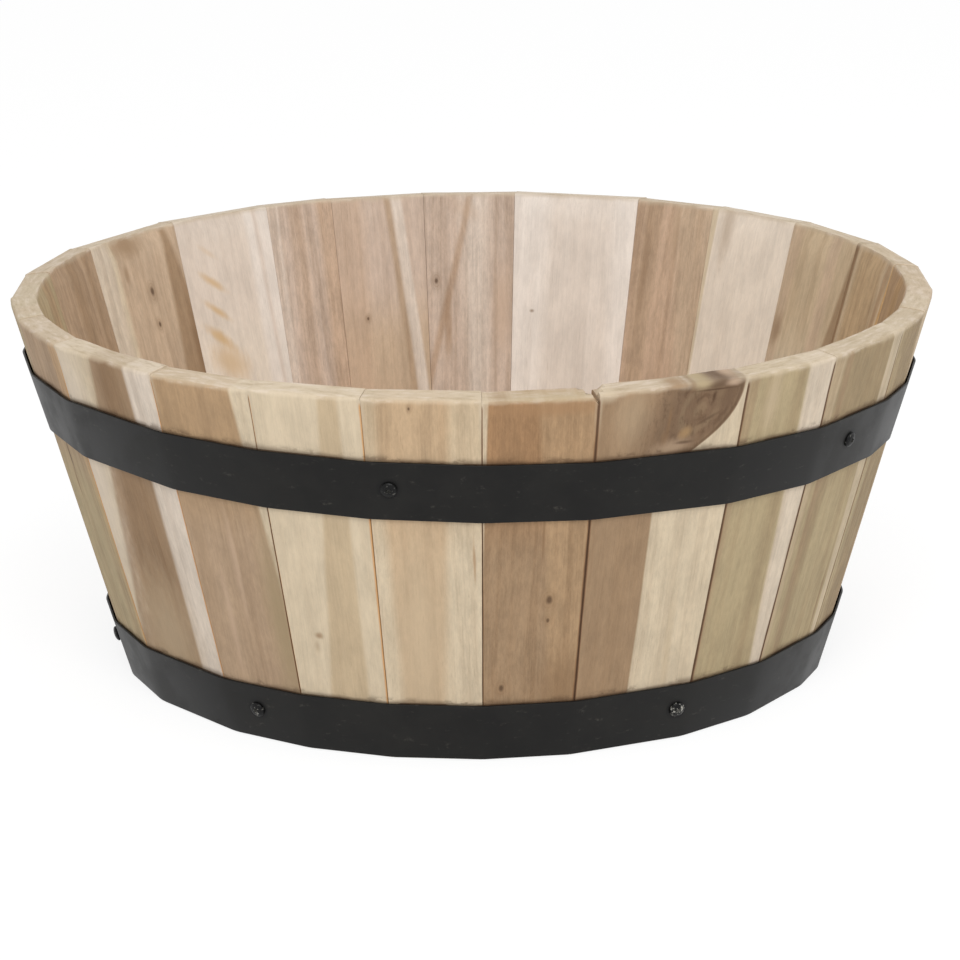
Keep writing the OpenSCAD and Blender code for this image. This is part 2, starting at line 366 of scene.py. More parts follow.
# The top of a board: rubbed edges, the cut end grain, and scuffs that run along the rim
def makeRimWear():
    inputs = {"Place": "Vector", "Board Length": 256.0, "Top Slope": 0.13, "Seed": 0.0}
    tree, given, out = shaderGroup("rimWear", inputs, ["Worn", "End Grain", "Dark", "Pale"])
    depth, across, along = split(given["Place"])
    below = depth * given["Top Slope"] + given["Board Length"] - along
    ragged = noise(given["Place"], (0.1, 0.1, 0.05), given["Seed"], 3.0)
    feed(out["Worn"], ramp(below, ragged * 9.0 - 0.2, 0.3))
    cut = ramp(below, 1.1, 0.5)
    feed(out["End Grain"], cut)
    scuffs = noise(given["Place"], (0.32, 0.075, 0.3), given["Seed"], 4.0, 0.65)
    feed(out["Dark"], ramp(scuffs, 0.5, 0.68) * cut)
    feed(out["Pale"], ramp(scuffs, 0.5, 0.36) * ramp(below, 3.5, 0.5))
    return tree


# A ragged oval of another colour
def makeWoodPatch():
    inputs = {
        "Place": "Vector", "Centre": "Vector", "Wide": 5.0, "High": 5.0, "Tilt": 0.0, "Seed": 0.0,
    }
    tree, given, out = shaderGroup("woodPatch", inputs, ["Mask"])
    depth, across, along = split(vectorCalc("SUBTRACT", given["Place"], given["Centre"]))
    up = along - across * given["Tilt"]
    flat = join(0.0, across / given["Wide"], up / given["High"])
    ragged = noise(given["Place"], (0.0, 0.25, 0.08), given["Seed"], 3.0, 0.6) + 0.5
    feed(out["Mask"], ramp(lengthOf(flat) * ragged, 1.3, 0.1))
    return tree


# The edges of a board at its joints: their brown, a painted shade line deep in the gap, and wear near the
# top. The brown and the shade are clean on the inside and on the rim
def makeSeamShade():
    inputs = {
        "Place": "Vector", "Foot Half Width": 30.0, "Spread": 0.04, "Left": 1.0, "Right": 1.0,
        "Board Length": 256.0, "Seed": 0.0,
    }
    tree, given, out = shaderGroup("seamShade", inputs, ["Mask", "Core", "Worn"])
    depth, across, along = split(given["Place"])
    toEdge = along * given["Spread"] + given["Foot Half Width"] - calc("ABSOLUTE", across)
    below = given["Board Length"] - along
    uneven = noise(given["Place"], (0.0, 0.05, 0.03), given["Seed"], 3.0)
    reach = blend(calc("GREATER_THAN", across, 0.0), given["Left"], given["Right"])
    reach = reach * (uneven * 1.6 + 0.2)
    outside = ramp(depth, -5.0, -2.0) * ramp(below, 2.5, 7.0)
    feed(out["Mask"], ramp(toEdge, reach, 0.15) * outside)
    # painted shade: a dark line deep in the joint's gap
    feed(out["Core"], ramp(toEdge, reach * 0.6, reach * 0.3) * outside)
    feed(out["Worn"], ramp(toEdge, uneven * 4.0 + 1.0, 0.8) * ramp(below, 34.0, 6.0))
    return tree


# Dirt just above a hoop, a smudge and spots, and a painted contact shadow as a dark line right at the
# strip
def makeHoopStain():
    inputs = {"Place": "Vector", "Height": 0.1845, "Half Rise": 0.0193, "Tilt": 0.0, "Reach": 0.004}
    tree, given, out = shaderGroup("hoopDirtAndShade", inputs, ["Mask"])
    x, y, z = split(given["Place"])
    above = x * given["Tilt"] + z - given["Height"] - given["Half Rise"]
    uneven = noise(given["Place"], (26.0, 26.0, 26.0), 4.0, 4.0, 0.6)
    reach = calc("MAXIMUM", given["Reach"] * (uneven * 4.4 - 1.4), 0.9 * mm)
    smudge = ramp(above, reach, 0.0) * 0.6
    # painted shadow: a dark line along the strip's upper edge
    line = ramp(above, 1 * mm, 0.2 * mm) * ramp(uneven, 0.4, 0.55, 0.3, 1.0)
    speckle = noise(given["Place"], (75.0, 75.0, 110.0), 9.0, 4.0, 0.65)
    spots = ramp(speckle, 0.5, 0.6, 0.0, 0.6) * ramp(above, 5.5 * mm, 1 * mm)
    dirtAndShade = calc("MAXIMUM", calc("MAXIMUM", smudge, line), spots)
    aboveFoot = given["Half Rise"] * 2.0 + above
    feed(out["Mask"], dirtAndShade * ramp(aboveFoot, -0.5 * mm, 0.5 * mm))
    return tree


boardGrain = makeBoardGrain()
grainBand = makeGrainBand()
woodKnot = makeWoodKnot()
woodPatch = makeWoodPatch()
rimWear = makeRimWear()
seamShade = makeSeamShade()
hoopDirtAndShade = makeHoopStain()

woodTones = {
    "milk": "EEE4DA", "shell": "E8DBCB", "ivory": "E0D2C4", "cream": "D3C2A7", "wheat": "C4AF90",
    "sand": "C8B395", "peach": "BEA07E", "blush": "D0BBAA", "rose": "C8AC93", "biscuit": "C8B096",
    "fawn": "B3997E", "tan": "B19371", "honey": "AF8D62", "olive": "B3A17F", "drab": "A28E6E",
    "brown": "A37F5C", "greyBrown": "A08568", "umber": "86694C", "dusk": "725A45", "bark": "57402E",
    "gold": "CFA36A", "endGrain": "CCBCA4", "joint": "80522C", "amber": "CC8C42", "smudge": "D4B58C",
}
tone = {name: colour(code) for name, code in woodTones.items()}
woodFinish = {
    "roughness": (0.76, 0.64),  # between the fibres and on them
    "specular": 0.25,
    "poreDepth": 1.5,  # as a share of a fibre's
    "bump": 0.35,
    "bumpDepth": 0.2 * mm,
}
# What each mask of a group lays over a board: a share of a tone
stains = {
    "knot": {"Halo": (0.35, "umber"), "Rings": (0.2, "umber"), "Core": (0.8, "bark")},
    "rim": {
        "Worn": (0.55, "endGrain"), "End Grain": (0.45, "endGrain"), "Dark": (0.45, "drab"),
        "Pale": (0.4, "ivory"),
    },
    # the Core of these seams is painted shade in the joint's gap
    "shadedSeam": {"Worn": (0.45, "endGrain"), "Mask": (0.8, "joint"), "Core": (0.85, "bark")},
    "amberSeam": {"Worn": (0.45, "endGrain"), "Mask": (0.8, "amber")},
}


def stainAll(kind, masks, shade):
    for mask, (share, name) in stains[kind].items():
        shade = stain(masks[mask], share, shade, tone[name])
    return shade


# A wood material, its place on the board in mm, and its grain
def startWood(name, origin, turn, seed, wander):
    material = newMaterial(name)
    objectPlace = objectPlaceIn(material)
    values = {"Vector": objectPlace, "Location": origin, "Rotation": turn, "Scale": (mm, mm, mm)}
    onBoard = chain("ShaderNodeMapping", values, vector_type="TEXTURE").outputs[0]
    grain = useGroup(boardGrain, place=onBoard, seed=seed, wander=wander)
    return material, objectPlace, onBoard, grain


# Boards with more streaks also show more fibre and more pores
def grainOver(grain, shade, streakShare):
    shade = stain(grain["Streak"], streakShare, shade, tone["umber"])
    faint = ramp(grain["Figure"], 0.0, 1.0, 0.97 - 0.12 * streakShare, 0.995)
    fibre = ramp(grain["Fibre"], 0.0, 1.0, faint, 1.03)
    cloudy = 0.02 + 0.2 * streakShare
    mottle = ramp(grain["Mottle"], 0.0, 1.0, 1.0 - cloudy, 1.0 + cloudy)
    level = ramp(grain["Figure"], 0.0, 1.0, 0.96, 1.04) * fibre * mottle
    shade = paint(1.0, shade, join(level, level, level), "MULTIPLY")
    return stain(grain["Pores"], 0.1 + 0.5 * streakShare, shade, tone["umber"])


def finishWood(material, grain, shade):
    roughness = ramp(grain["Fibre"], 0.0, 1.0, *woodFinish["roughness"])
    height = grain["Fibre"] - grain["Pores"] * woodFinish["poreDepth"]
    relief = {"Height": height, "Strength": woodFinish["bump"], "Distance": woodFinish["bumpDepth"]}
    return finishSurface(material, shade, roughness, woodFinish["specular"], relief)


# What each board shows, from the first seam round to the right, in mm. A place is across, to the right
# of the board's middle seen from outside, and along from its foot
# base, low: tones of its upper and its lower part. streak: how streaky it is. drop: how low its rim lies
# bands: left edge and slant, right edge and slant, all 200 mm up, then softness, tone and share
# knots: place and radius. patches, and rim for those laid over the worn edge: place, half sizes, tilt,
# tone and share
# seams: how far in from its left and right edges the joints' brown and the painted shade of their gaps
# reach. chip: place across, radius and depth
# heart: tip of the heartwood, how its edge bends, its left end, the eye of the grain and its turn
side = 90  # past the edge of any board
boards = [
    {"base": "brown", "low": "greyBrown", "streak": 0.4, "drop": 1.3,
        "bands": [(2.5, -0.07, side, 0, 3, "tan", 0.75), (-side, 0, -31, 0, 0.8, "cream", 1)],
        "knots": [(9.8, 116, 2.3), (9.7, 101, 1.3), (-17.5, 53, 1.8)],
        "patches": [(23, 50, 24, 34, 0, "umber", 0.6), (4, 160, 1, 22, 0, "umber", 0.7),
            (-16, 215, 10, 16, 0, "umber", 0.3)],
        "rim": [(8, 249.5, 46, 6, 0, "brown", 0.7), (8, 255.6, 44, 2.2, 0, "olive", 0.5),
            (-24, 254.6, 6, 1.2, 0, "greyBrown", 0.5)],
        "seams": (0.9, 2.1), "chip": (36, 14, 5)},
    {"base": "cream", "streak": 0.2, "drop": 0.1, "seams": (1.6, 0.7),
        "heart": {"tip": (46, 253), "bend": 0.0165, "low": -3.5, "eye": (19, 240), "turn": 0.62},
        "patches": [(3, 215, 15, 7, 0.1, "fawn", 0.7), (-3, 222, 3, 7, 0, "umber", 0.5),
            (36, 247, 9, 11, 0.5, "dusk", 0.8), (26, 247, 1.4, 4, 0.9, "bark", 1),
            (10.5, 224, 5, 4.5, 0.3, "honey", 0.6), (10.5, 217.5, 7, 1.3, 0, "bark", 0.7),
            (24, 232, 9, 1.5, 0.5, "bark", 0.6), (-1, 234, 1.2, 12, 0, "umber", 0.8),
            (-26, 240, 14, 24, 0, "sand", 0.25), (20, 60, 3, 60, 0, "wheat", 0.5)],
        "rim": [(28, 256, 21, 7, 0, "dusk", 0.75), (18, 255.5, 8, 4, 0, "olive", 0.75),
            (12, 255, 2.5, 4, 0.9, "umber", 0.4), (30, 255, 10, 2.5, 0.2, "bark", 0.6),
            (38, 254.5, 6, 2.2, 0, "rose", 0.6), (27, 251.5, 16, 0.8, 0, "bark", 0.9),
            (2, 256, 9, 1.6, 0, "greyBrown", 0.9), (-44, 255, 8, 5, 0, "cream", 0.5)],
        "chip": (-50, 11, 3)},
    {"base": "olive", "streak": 0.2, "drop": 0.5, "seams": (2.6, 1.4),
        "bands": [(14.5, -0.03, side, 0, 1.8, "cream", 1), (16, -0.03, side, 0, 2, "ivory", 0.45),
            (3, 0, 13, 0, 4, "drab", 0.6), (-side, 0, -28, 0, 2, "greyBrown", 0.5)],
        "patches": [(-14, 238, 7, 26, 0, "sand", 0.6)]},
    {"base": "drab", "low": "olive", "streak": 0.25, "drop": 0.3, "seams": (2.0, 1.4),
        "bands": [(-side, 0, -30, 0, 2, "sand", 0.6), (-26.5, -0.04, -19, -0.04, 2, "greyBrown", 0.6),
            (29, 0, side, 0, 1, "cream", 0.75), (-17, 0, -10, 0, 3, "drab", 0.7)],
        "patches": [(26, 68, 1.2, 34, 0, "umber", 0.7)]},
    {"base": "drab", "streak": 0.5, "drop": 0.8, "bands": [(-side, 0, -8, 0, 3, "olive", 1)]},
    {"base": "sand", "streak": 0.4, "drop": 0.2, "bands": [(4, 0.05, side, 0, 3, "rose", 0.8)]},
    {"base": "tan", "streak": 0.4, "drop": 0.6, "bands": [(-12, 0, 4, 0, 4, "honey", 0.7)]},
    {"base": "sand", "streak": 0.4, "drop": 0.2,
        "bands": [(-34, -0.1, -29, -0.1, 1.2, "gold", 0.8), (-27, -0.1, -20, -0.1, 2, "brown", 0.6),
            (-19, 0, 24, 0, 5, "honey", 0.5), (29.5, 0, side, 0, 1.5, "umber", 0.9)]},
    {"base": "sand", "low": "cream", "streak": 0.22, "drop": 0.5,
        "bands": [(25, 0, side, 0, 4, "biscuit", 0.8), (-20, 0, -8, 0, 4, "biscuit", 0.9),
            (-side, 0, -30, -0.16, 2, "umber", 0.7)],
        "patches": [(30, 178, 7, 14, 0, "umber", 0.6)]},
    {"base": "shell", "streak": 0.1, "drop": 0.3,
        "bands": [(33, 0, side, 0, 1, "cream", 1)],
        "patches": [(22, 246, 7, 40, 0, "greyBrown", 0.4)]},
    {"base": "rose", "streak": 0.35, "drop": 0.7,
        "bands": [(10, 0, 24, 0, 4, "fawn", 0.6), (-side, 0, -8, 0.1, 6, "biscuit", 0.9)],
        "patches": [(18, 205, 3, 40, 0, "umber", 0.4), (-3, 235, 4, 30, 0, "fawn", 0.6)]},
    {"base": "milk", "streak": 0.1, "drop": 0.1,
        "bands": [(-30, 0, 20, 0, 8, "ivory", 0.6)], "patches": [(28, 168, 2, 1.5, 0, "umber", 0.7)]},
    {"base": "blush", "streak": 0.35, "drop": 0.4,
        "bands": [(-14, 0, 6, 0.05, 6, "ivory", 0.7), (9, -0.22, 14, -0.22, 2, "brown", 0.5)],
        "knots": [(25, 190, 1.8)],
        "patches": [(16, 155, 3, 26, 0, "brown", 0.5), (-24, 170, 8, 40, 0, "rose", 0.6),
            (4, 243, 14, 9, 0.4, "rose", 0.4)]},
    {"base": "blush", "low": "biscuit", "streak": 0.2, "drop": 0.6,
        "bands": [(-22, 0.07, -13, 0.07, 1.5, "ivory", 0.9), (-14, 0.07, -9, 0.07, 2, "fawn", 0.8),
            (12, 0, side, 0, 6, "rose", 0.6)],
        "knots": [(14, 165, 1.2)]},
    {"base": "blush", "streak": 0.4, "drop": 0.2,
        "bands": [(-side, 0, -13, 0, 4, "rose", 0.9), (-3, 0, 10, 0, 4, "rose", 0.45),
            (16, 0, side, 0, 3, "ivory", 0.5)]},
    {"base": "ivory", "low": "shell", "streak": 0.1, "drop": 0.3,
        "bands": [(-side, 0, -20, -0.02, 3, "milk", 0.8), (-31, 0, -28, 0, 2, "blush", 0.5)],
        "patches": [(16.5, 229, 8, 3, 0.75, "smudge", 0.3), (16.5, 207, 11, 4, 0.75, "smudge", 0.85),
            (17, 186, 11, 4, 0.75, "smudge", 0.9), (19, 167, 12, 6, 0.75, "smudge", 1),
            (14, 148, 18, 16, 0.4, "smudge", 0.75)]},
    {"base": "biscuit", "streak": 0.25, "drop": 0.7,
        "bands": [(23.5, 0, side, 0, 2.5, "cream", 1), (28, 0, side, 0, 4, "ivory", 0.45),
            (-48, 0.2, -27, -0.1, 3, "greyBrown", 0.9)],
        "knots": [(-6, 212, 2.4), (-5, 188, 1.6)],
        "patches": [(8, 248, 20, 11, 0, "greyBrown", 0.9), (16, 228, 3, 8, 0, "greyBrown", 0.7),
            (-43, 150, 6, 60, -0.5, "umber", 0.6)]},
    {"base": "fawn", "low": "tan", "streak": 0.4, "drop": 0.3,
        "bands": [(-10, 0, 10, 0, 6, "greyBrown", 0.7), (-30, 0, -20, 0, 4, "greyBrown", 0.5)]},
    {"base": "olive", "streak": 0.4, "drop": 0.9, "bands": [(-20, 0, 0, 0, 5, "tan", 0.7)]},
    {"base": "olive", "streak": 0.4, "drop": 0.1, "bands": [(0, 0, 20, 0, 5, "tan", 0.7)]},
    {"base": "fawn", "low": "olive", "streak": 0.3, "drop": 0.6,
        "seams": (0.6, 1.2), "seamLook": "amberSeam",
        "bands": [(10, 0, 22, 0, 2, "greyBrown", 0.25), (24, 0, side, 0, 2, "gold", 0.25)],
        "patches": [(-10, 168, 1.6, 16, 0, "bark", 0.9), (-12, 150, 1.8, 12, 0, "umber", 0.8),
            (6, 120, 14, 50, 0, "olive", 0.5)]},
    {"base": "cream", "streak": 0.2, "drop": 0.2, "seams": (0.6, 1.0), "seamLook": "amberSeam",
        "bands": [(20, 0.02, side, 0, 2, "ivory", 0.8), (-20, 0.15, 22, 0.02, 2.4, "greyBrown", 1),
            (-20, 0.12, -8, 0.14, 5, "fawn", 0.5), (-12, 0.12, 14, 0, 6, "umber", 0.4)],
        "patches": [(-42, 180, 20, 120, 0.1, "ivory", 0.5), (0, 242, 18, 24, 0, "umber", 0.4),
            (9, 112, 1.2, 40, 0, "umber", 0.6), (-8, 55, 36, 60, 0, "sand", 0.5)]},
    {"base": "tan", "low": "fawn", "streak": 0.25, "drop": 0.9, "seams": (0.6, 0.9),
        "bands": [(26, -0.065, side, 0, 1.6, "cream", 1)],
        "patches": [(27, 90, 12, 80, 0, "drab", 0.8), (-24, 150, 5, 90, 0, "greyBrown", 0.35),
            (0, 130, 3, 45, 0.0, "rose", 0.5), (-13, 90, 3, 45, 0.0, "rose", 0.5),
            (2, 235, 14, 18, 0, "greyBrown", 0.25)]},
    {"base": "cream", "streak": 0.1, "drop": 0.1, "seams": (0.6, 1.6), "seamLook": "amberSeam",
        "bands": [(4, 0.08, 20, 0.02, 2, "wheat", 1)],
        "patches": [(-12, 86, 3.5, 3, 0, "greyBrown", 0.9), (-14, 78, 2, 5, 0, "greyBrown", 0.4)]},
    {"base": "sand", "low": "cream", "streak": 0.25, "drop": 0.4,
        "bands": [(-25.5, -0.042, 14, 0.05, 4, "peach", 0.75)],
        "knots": [(-7.4, 250.7, 0.9)],
        "patches": [(-6, 80, 22, 110, 0, "sand", 0.6), (28, 145, 1, 18, 0, "brown", 0.7)]},
]
stave = {
    "columnWidth": 3 * mm,
    "faceRows": 24,
    "rimRounding": 3 * mm,
    "rimSlope": math.radians(7.5),
    "rimSteps": 5,
    "topRows": 6,
    "arris": 0.3 * mm,
    "innerArris": 0.08 * mm,
    "cornerWear": 1.2 * mm,
    "innerWear": 0.4 * mm,
    "edgeWear": 0.35 * mm,
    "grooveLow": 27.8 * mm,
    "grooveHigh": 34.2 * mm,
    "grooveDepth": 3 * mm,
    "grooveRadius": 229.77 * mm,
}


def boardLength(index):
    return tub["rimHeight"] / math.cos(leanAngle(index)) - boards[index]["drop"] * mm


# How far along a board a point lies that is at this depth in it and this high above the ground
def alongAt(index, depth, height):
    lean = leanAngle(index)
    return (height + depth * math.sin(lean)) / math.cos(lean)


# The angle by which a board's top falls towards the inside, from a cut square to the board
def topFall(index):
    return leanAngle(index) - stave["rimSlope"]


def arcPoints(centreX, centreY, radius, start, end, steps):
    turns = [start + (end - start) * k / steps for k in range(steps + 1)]
    return [(centreX + radius * math.cos(t), centreY + radius * math.sin(t), 0) for t in turns]


# The side view of a board: depth in x and along in y, with the groove's floor as its last but one pair
def staveProfile(index):
    inside, top, radius = -tub["staveThickness"], boardLength(index), stave["rimRounding"]
    rows, fall = stave["faceRows"], topFall(index)
    straight = top - radius * (1 + math.sin(fall)) / math.cos(fall)
    innerStraight = top - (radius - (inside + radius) * math.sin(fall)) / math.cos(fall)
    low = alongAt(index, inside, stave["grooveLow"])
    high = alongAt(index, inside, stave["grooveHigh"])
    floor = inside + stave["grooveDepth"]
    square = math.pi / 2 + fall
    outer = arcPoints(-radius, straight, radius, 0, square, stave["rimSteps"])
    inner = arcPoints(inside + radius, innerStraight, radius, square, math.pi, stave["rimSteps"])
    startX, startY, endX, endY = *outer[-1][:2], *inner[0][:2]
    shares = [k / stave["topRows"] for k in range(1, stave["topRows"])]
    points = [(inside, alongAt(index, inside, 0), 0), (0, 0, 0)]
    points += [(0, straight * k / rows, 0) for k in range(1, rows)] + outer
    points += [(startX + (endX - startX) * s, startY + (endY - startY) * s, 0) for s in shares] + inner
    points += [(inside, high + (innerStraight - high) * k / rows, 0) for k in range(rows - 1, -1, -1)]
    points += [(floor, high, 0), (floor, low, 0), (inside, low, 0)]
    count = len(points)
    mesh = startMesh("profile", points, [(k, (k + 1) % count) for k in range(count)])
    onFloor = mesh.attributes.new("grooveFloor", "FLOAT", "POINT")
    for k in (count - 3, count - 2):
        onFloor.data[k].value = 1.0
    return mesh


# A board: its side view swept along its width, then bevelled, grooved and worn, and stood in its place
def makeStaveTree():
    inputs = {
        "Profile": "Geometry", "Columns": 24, "Slope": 0.15, "Face Distance": 0.23, "Lean": 0.26,
        "Joint Set Back": 0.0002, "Thickness": 0.018, "Board Length": 0.25, "Arris": 0.0006,
        "Inner Arris": 0.0001, "Inner Wear": 0.0005, "Top Fall": 0.13, "Groove Radius": 0.2298,
        "Chip": "Vector", "Edge Wear": 0.0003, "Corner Wear": 0.0009, "Seed": 0.0, "Origin": "Vector",
        "Turn": "Vector", "Wood": "Material",
    }
    tree, given, out = geometryGroup("staveBoard", inputs)
    profile = geometry(tree, "MeshToCurve", {"Mesh": given["Profile"]})
    line = geometry(tree, "CurvePrimitiveLine", {"Start": (0, 0, -1), "End": (0, 0, 1)})
    path = geometry(tree, "ResampleCurve", {"Curve": line, "Count": given["Columns"]})
    sweep = {"Curve": path, "Profile Curve": profile, "Fill Caps": True}
    body = geometry(tree, "CurveToMesh", sweep)
    depth, along, across = split(geometry(tree, "InputPosition"))
    sine = calc("SINE", given["Lean"])
    cosine = calc("COSINE", given["Lean"])

    # the end columns are the joint faces, set in by the arris
    nextToEnd = 1.0 - 2.0 / (given["Columns"] - 1.0)
    reach = calc("ABSOLUTE", across)
    atEnd = calc("GREATER_THAN", reach, nextToEnd * 0.5 + 0.5)
    arris = ramp(depth, -11 * mm, -5 * mm, given["Inner Arris"], given["Arris"])
    deepest = given["Inner Arris"] - given["Thickness"]
    setIn = calc("MINIMUM", calc("MAXIMUM", depth, deepest), -given["Arris"])
    top = given["Board Length"] + depth * calc("TANGENT", given["Top Fall"])
    along = blend(atEnd, along, calc("MINIMUM", along, top - given["Inner Arris"]))
    depth = blend(atEnd, depth, setIn)
    along = calc("MAXIMUM", along, depth * calc("TANGENT", given["Lean"]))

    # the joint faces lie on planes through the tub's axis
    outward = along * sine + (depth * cosine + given["Face Distance"])
    halfWidth = (outward - given["Joint Set Back"]) * given["Slope"]
    width = atEnd * arris + calc("MINIMUM", reach / nextToEnd, 1.0) * (halfWidth - arris)
    across = width * -calc("SIGN", across)

    # the floor of the groove is round about the same axis
    floor = calc("SQRT", given["Groove Radius"] * given["Groove Radius"] - across * across)
    floor = (floor - given["Face Distance"] - along * sine) / cosine
    depth = blend(geometry(tree, "InputNamedAttribute", {"Name": "grooveFloor"}), depth, floor)

    # the outer corners of the rim are rounded off, the inner ones filled out to the round
    spot = join(depth, across, along)
    below = top - along
    fromAxis = lengthOf(join(outward, across, 0.0))
    atCorner = calc("COSINE", calc("ARCTANGENT", given["Slope"]))
    cone = (along * sine + given["Face Distance"]) / atCorner
    innerCone = cone - given["Thickness"] * cosine / atCorner
    proud = calc("MAXIMUM", fromAxis - (cone - given["Corner Wear"]), 0.0) * ramp(below, 60 * mm, 10 * mm)
    hollow = calc("MAXIMUM", innerCone - given["Inner Wear"] - fromAxis, 0.0)
    depth = depth - proud + hollow * ramp(below, 12 * mm, 2 * mm)

    # the rim is rubbed down unevenly, and an inner corner may be chipped
    nearTop = ramp(below, 6 * mm, 0.0)
    loss = noise(spot, (120.0, 120.0, 60.0), given["Seed"], 3.0, 0.6) * nearTop * given["Edge Wear"]
    chipAcross, chipRadius, chipDepth = split(given["Chip"])
    away = (depth + given["Thickness"]) * 0.6 + calc("ABSOLUTE", across - chipAcross)
    away = noise(spot, (400.0, 400.0, 0.0), given["Seed"]) * (4 * mm) + away
    chipped = calc("LESS_THAN", away, chipRadius) * chipDepth
    along = along - (chipped * nearTop + loss)
    shaped = {"Geometry": body, "Position": join(depth, across, along)}
    body = geometry(tree, "SetPosition", shaped)
    turn = chain("FunctionNodeEulerToRotation", {0: given["Turn"]}).outputs[0]
    stood = {"Geometry": body, "Translation": given["Origin"], "Rotation": turn}
    finishTree(tree, out, geometry(tree, "Transform", stood), given["Wood"])
    return tree


def addPatches(place, seed, patches, shade):
    for x, z, wide, high, tilt, name, share in patches:
        values = {"centre": (0, x, z), "wide": wide, "high": high, "tilt": tilt, "seed": seed}
        mask = useGroup(woodPatch, place=place, **values)["Mask"]
        shade = stain(mask, share, shade, tone[name])
    return shade


boardLook = {  # lengths in mm
    "seedStep": 3.7,
    "wander": 4.0,
    "lowSpan": (140.0, 200.0),  # from the lower part's tone to the upper part's
    "seams": (0.6, 0.6),  # where a board has none of its own
    "dirtAndShadeSpan": (-9.0, -7.0),  # how deep the dirt and painted shade at the hoops go
    "dirtAndShadeShare": 0.9,
}
heartLook = {  # lengths in mm, spans from none to full at a distance from the eye
    "eyeStretch": 1.5,
    "darkSpan": (42.0, 16.0),
    "ringSpan": (24.0, 13.0),
    "ringPitch": 0.62,
    "ringWaver": 9.0,
    "edgeLine": 1.8,
    "edgeLineSpan": (200.0, 225.0),  # up the board
}


# Heartwood with a round edge near the rim, darkest where the grain turns round an eye
def addHeart(place, seed, heart, shade):
    depth, across, along = split(place)
    tipX, tipZ = heart["tip"]
    down = calc("MAXIMUM", tipZ - along, 0.0)
    edge = down * down * -heart["bend"] + tipX
    toEdge = across - calc("MAXIMUM", edge, heart["low"])
    inside = ramp(toEdge, 0.8, -0.8)
    shade = paint(inside, shade, tone["greyBrown"])
    right = across - heart["eye"][0]
    up = along - heart["eye"][1]
    cosine, sine = math.cos(heart["turn"]), math.sin(heart["turn"])
    length = right * sine + up * cosine
    width = right * cosine + up * -sine
    far = lengthOf(join(0.0, width, length / heartLook["eyeStretch"]))
    dark = inside * ramp(far, *heartLook["darkSpan"])
    shade = stain(dark, 0.85, shade, tone["dusk"])
    swirl = noise(place, (0.0, 0.06, 0.045), seed, 4.0, 0.6)
    wave = calc("SINE", swirl * heartLook["ringWaver"] + far * heartLook["ringPitch"])
    rings = inside * ramp(far, *heartLook["ringSpan"])
    faint = ramp(noise(place, (0.0, 0.1, 0.07), seed + 5, 3.0, 0.6), 0.4, 0.62)
    shade = stain(rings * faint * ramp(wave, 0.55, 1.0), 0.6, shade, tone["bark"])
    shade = stain(rings * ramp(wave, 0.2, -1.0), 0.12, shade, tone["olive"])
    specks = ramp(noise(place, (0.0, 0.3, 0.16), seed, 4.0, 0.7), 0.52, 0.66)
    shade = stain(dark * specks, 0.5, shade, tone["bark"])
    line = ramp(calc("ABSOLUTE", toEdge + heartLook["edgeLine"]), heartLook["edgeLine"], 0.4)
    return stain(line * ramp(along, *heartLook["edgeLineSpan"]), 0.5, shade, tone["bark"])


def staveWood(index, origin, turn):
    look = boards[index]
    seed = boardLook["seedStep"] * (index + 1)
    name = f"staveWood{index + 1:02d}"
    material, objectPlace, onBoard, grain = startWood(name, origin, turn, seed, boardLook["wander"])
    bent = grain["Place"]
    depth, across, along = split(bent)
    low = tone[look.get("low", look["base"])]
    shade = paint(ramp(along, *boardLook["lowSpan"]), low, tone[look["base"]])
    for left, leftSlant, right, rightSlant, softness, name, share in look.get("bands", []):
        edges = {"left": left, "leftSlant": leftSlant, "right": right, "rightSlant": rightSlant}
        mask = useGroup(grainBand, place=bent, softness=softness, **edges)["Mask"]
        shade = stain(mask, share, shade, tone[name])
    if "heart" in look:
        shade = addHeart(bent, seed, look["heart"], shade)
    shade = grainOver(grain, shade, look["streak"])
    for x, z, radius in look.get("knots", []):
        knot = useGroup(woodKnot, place=bent, centre=(0, x, z), radius=radius, seed=seed)
        shade = stainAll("knot", knot, shade)
    shade = addPatches(bent, seed, look.get("patches", []), shade)
    length = boardLength(index) / mm
    rim = useGroup(rimWear, place=bent, boardLength=length, topSlope=math.tan(topFall(index)), seed=seed)
    shade = stainAll("rim", rim, shade)
    shade = addPatches(bent, seed, look.get("rim", []), shade)
    slope = math.tan(halfAngle(index))
    left, right = look.get("seams", boardLook["seams"])
    seam = useGroup(
        seamShade, place=onBoard, boardLength=length, footHalfWidth=faceDistance(index) * slope / mm,
        spread=math.sin(leanAngle(index)) * slope, seed=seed, left=left, right=right,
    )
    shade = stainAll(look.get("seamLook", "shadedSeam"), seam, shade)
    # dirt above each hoop, with a painted contact shadow along the strip
    for band in (upperHoop, lowerHoop):
        values = {"height": band["height"], "halfRise": hoopRise / 2, "tilt": math.tan(band["tilt"])}
        dirtAndShade = useGroup(hoopDirtAndShade, place=objectPlace, **values)["Mask"]
        dirtAndShade = dirtAndShade * ramp(depth, *boardLook["dirtAndShadeSpan"])
        shade = stain(dirtAndShade, boardLook["dirtAndShadeShare"], shade, tone["bark"])
    return finishWood(material, grain, shade)


